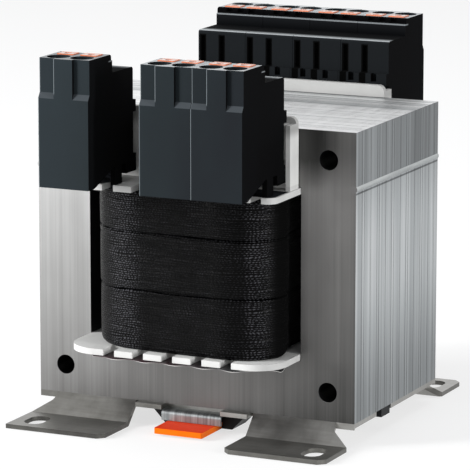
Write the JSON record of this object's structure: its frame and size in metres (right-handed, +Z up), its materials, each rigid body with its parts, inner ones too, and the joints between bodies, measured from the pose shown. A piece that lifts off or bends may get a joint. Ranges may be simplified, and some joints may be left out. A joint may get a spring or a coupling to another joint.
{
  "type": "control transformer",
  "caption": "Welded EI core with a taped coil, push-in terminals front and rear, slotted feet, and a pull-to-release clip for a mounting rail.",
  "frame": {"origin": "on the floor plane, at the centre of the four foot slots", "axes": "+Z up, +X along the core, the primary terminals face -Y"},
  "size_m": [0.0966, 0.126, 0.1067],
  "materials": {
    "core_steel": "satin, laminated",
    "weld_metal": "as welded",
    "bracket_steel": "satin, galvanized",
    "bobbin_plastic": "moulded, matt",
    "copper_wire": "enamelled wire",
    "insulation_foil": "insulating foil",
    "coil_tape": "woven tape",
    "lead_sleeve": "sleeving",
    "clip_plastic": "moulded, matt",
    "spring_steel": "bright",
    "latch_plastic": "moulded",
    "terminal_plastic": "moulded, fine",
    "button_plastic": "moulded",
    "contact_copper": "tinned copper"
  },
  "bodies": {
    "transformer": {"e_core": "core_steel", "i_core": "core_steel", "weld_seam_left": "weld_metal", "weld_seam_right": "weld_metal", "mounting_bracket": "bracket_steel", "bobbin": "bobbin_plastic", "primary_winding": "copper_wire", "barrier_foil": "insulation_foil", "secondary_winding": "copper_wire", "wrap_foil": "insulation_foil", "tape_band_lower": "coil_tape", "tape_band_middle": "coil_tape", "tape_band_upper": "coil_tape", "slot_foil_front": "insulation_foil", "slot_foil_rear": "insulation_foil", "primary_leads": "lead_sleeve", "secondary_leads": "lead_sleeve", "rail_clip_body": "clip_plastic", "clip_spring": "spring_steel", "terminal_housing_primary_1": "terminal_plastic", "contact_bars_primary_1": "contact_copper", "clamp_springs_primary_1": "spring_steel", "terminal_housing_primary_2": "terminal_plastic", "contact_bars_primary_2": "contact_copper", "clamp_springs_primary_2": "spring_steel", "terminal_housing_primary_3": "terminal_plastic", "contact_bars_primary_3": "contact_copper", "clamp_springs_primary_3": "spring_steel", "terminal_housing_secondary_1": "terminal_plastic", "contact_bars_secondary_1": "contact_copper", "clamp_springs_secondary_1": "spring_steel", "terminal_housing_secondary_2": "terminal_plastic", "contact_bars_secondary_2": "contact_copper", "clamp_springs_secondary_2": "spring_steel", "terminal_housing_secondary_3": "terminal_plastic", "contact_bars_secondary_3": "contact_copper", "clamp_springs_secondary_3": "spring_steel", "terminal_housing_secondary_4": "terminal_plastic", "contact_bars_secondary_4": "contact_copper", "clamp_springs_secondary_4": "spring_steel"},
    "rail_latch": {"rail_latch": "latch_plastic"},
    "release_button_primary_1a": {"release_button_primary_1a": "button_plastic"},
    "release_button_primary_1b": {"release_button_primary_1b": "button_plastic"},
    "release_button_primary_2a": {"release_button_primary_2a": "button_plastic"},
    "release_button_primary_2b": {"release_button_primary_2b": "button_plastic"},
    "release_button_primary_3a": {"release_button_primary_3a": "button_plastic"},
    "release_button_primary_3b": {"release_button_primary_3b": "button_plastic"},
    "release_button_secondary_1a": {"release_button_secondary_1a": "button_plastic"},
    "release_button_secondary_1b": {"release_button_secondary_1b": "button_plastic"},
    "release_button_secondary_2a": {"release_button_secondary_2a": "button_plastic"},
    "release_button_secondary_2b": {"release_button_secondary_2b": "button_plastic"},
    "release_button_secondary_3a": {"release_button_secondary_3a": "button_plastic"},
    "release_button_secondary_3b": {"release_button_secondary_3b": "button_plastic"},
    "release_button_secondary_4a": {"release_button_secondary_4a": "button_plastic"},
    "release_button_secondary_4b": {"release_button_secondary_4b": "button_plastic"}
  },
  "joints": [
    {"name": "latch_pull", "type": "slide", "parent": "transformer", "child": "rail_latch", "axis": [0, -1, 0], "range_m": [0, 0.004], "stiffness_N_per_m": 1500},
    {"name": "press_primary_1a", "type": "slide", "parent": "transformer", "child": "release_button_primary_1a", "axis": [0, 0, -1], "range_m": [0, 0.0015], "stiffness_N_per_m": 800},
    {"name": "press_primary_1b", "type": "slide", "parent": "transformer", "child": "release_button_primary_1b", "axis": [0, 0, -1], "range_m": [0, 0.0015], "stiffness_N_per_m": 800},
    {"name": "press_primary_2a", "type": "slide", "parent": "transformer", "child": "release_button_primary_2a", "axis": [0, 0, -1], "range_m": [0, 0.0015], "stiffness_N_per_m": 800},
    {"name": "press_primary_2b", "type": "slide", "parent": "transformer", "child": "release_button_primary_2b", "axis": [0, 0, -1], "range_m": [0, 0.0015], "stiffness_N_per_m": 800},
    {"name": "press_primary_3a", "type": "slide", "parent": "transformer", "child": "release_button_primary_3a", "axis": [0, 0, -1], "range_m": [0, 0.0015], "stiffness_N_per_m": 800},
    {"name": "press_primary_3b", "type": "slide", "parent": "transformer", "child": "release_button_primary_3b", "axis": [0, 0, -1], "range_m": [0, 0.0015], "stiffness_N_per_m": 800},
    {"name": "press_secondary_1a", "type": "slide", "parent": "transformer", "child": "release_button_secondary_1a", "axis": [0, 0, -1], "range_m": [0, 0.0015], "stiffness_N_per_m": 800},
    {"name": "press_secondary_1b", "type": "slide", "parent": "transformer", "child": "release_button_secondary_1b", "axis": [0, 0, -1], "range_m": [0, 0.0015], "stiffness_N_per_m": 800},
    {"name": "press_secondary_2a", "type": "slide", "parent": "transformer", "child": "release_button_secondary_2a", "axis": [0, 0, -1], "range_m": [0, 0.0015], "stiffness_N_per_m": 800},
    {"name": "press_secondary_2b", "type": "slide", "parent": "transformer", "child": "release_button_secondary_2b", "axis": [0, 0, -1], "range_m": [0, 0.0015], "stiffness_N_per_m": 800},
    {"name": "press_secondary_3a", "type": "slide", "parent": "transformer", "child": "release_button_secondary_3a", "axis": [0, 0, -1], "range_m": [0, 0.0015], "stiffness_N_per_m": 800},
    {"name": "press_secondary_3b", "type": "slide", "parent": "transformer", "child": "release_button_secondary_3b", "axis": [0, 0, -1], "range_m": [0, 0.0015], "stiffness_N_per_m": 800},
    {"name": "press_secondary_4a", "type": "slide", "parent": "transformer", "child": "release_button_secondary_4a", "axis": [0, 0, -1], "range_m": [0, 0.0015], "stiffness_N_per_m": 800},
    {"name": "press_secondary_4b", "type": "slide", "parent": "transformer", "child": "release_button_secondary_4b", "axis": [0, 0, -1], "range_m": [0, 0.0015], "stiffness_N_per_m": 800}
  ]
}
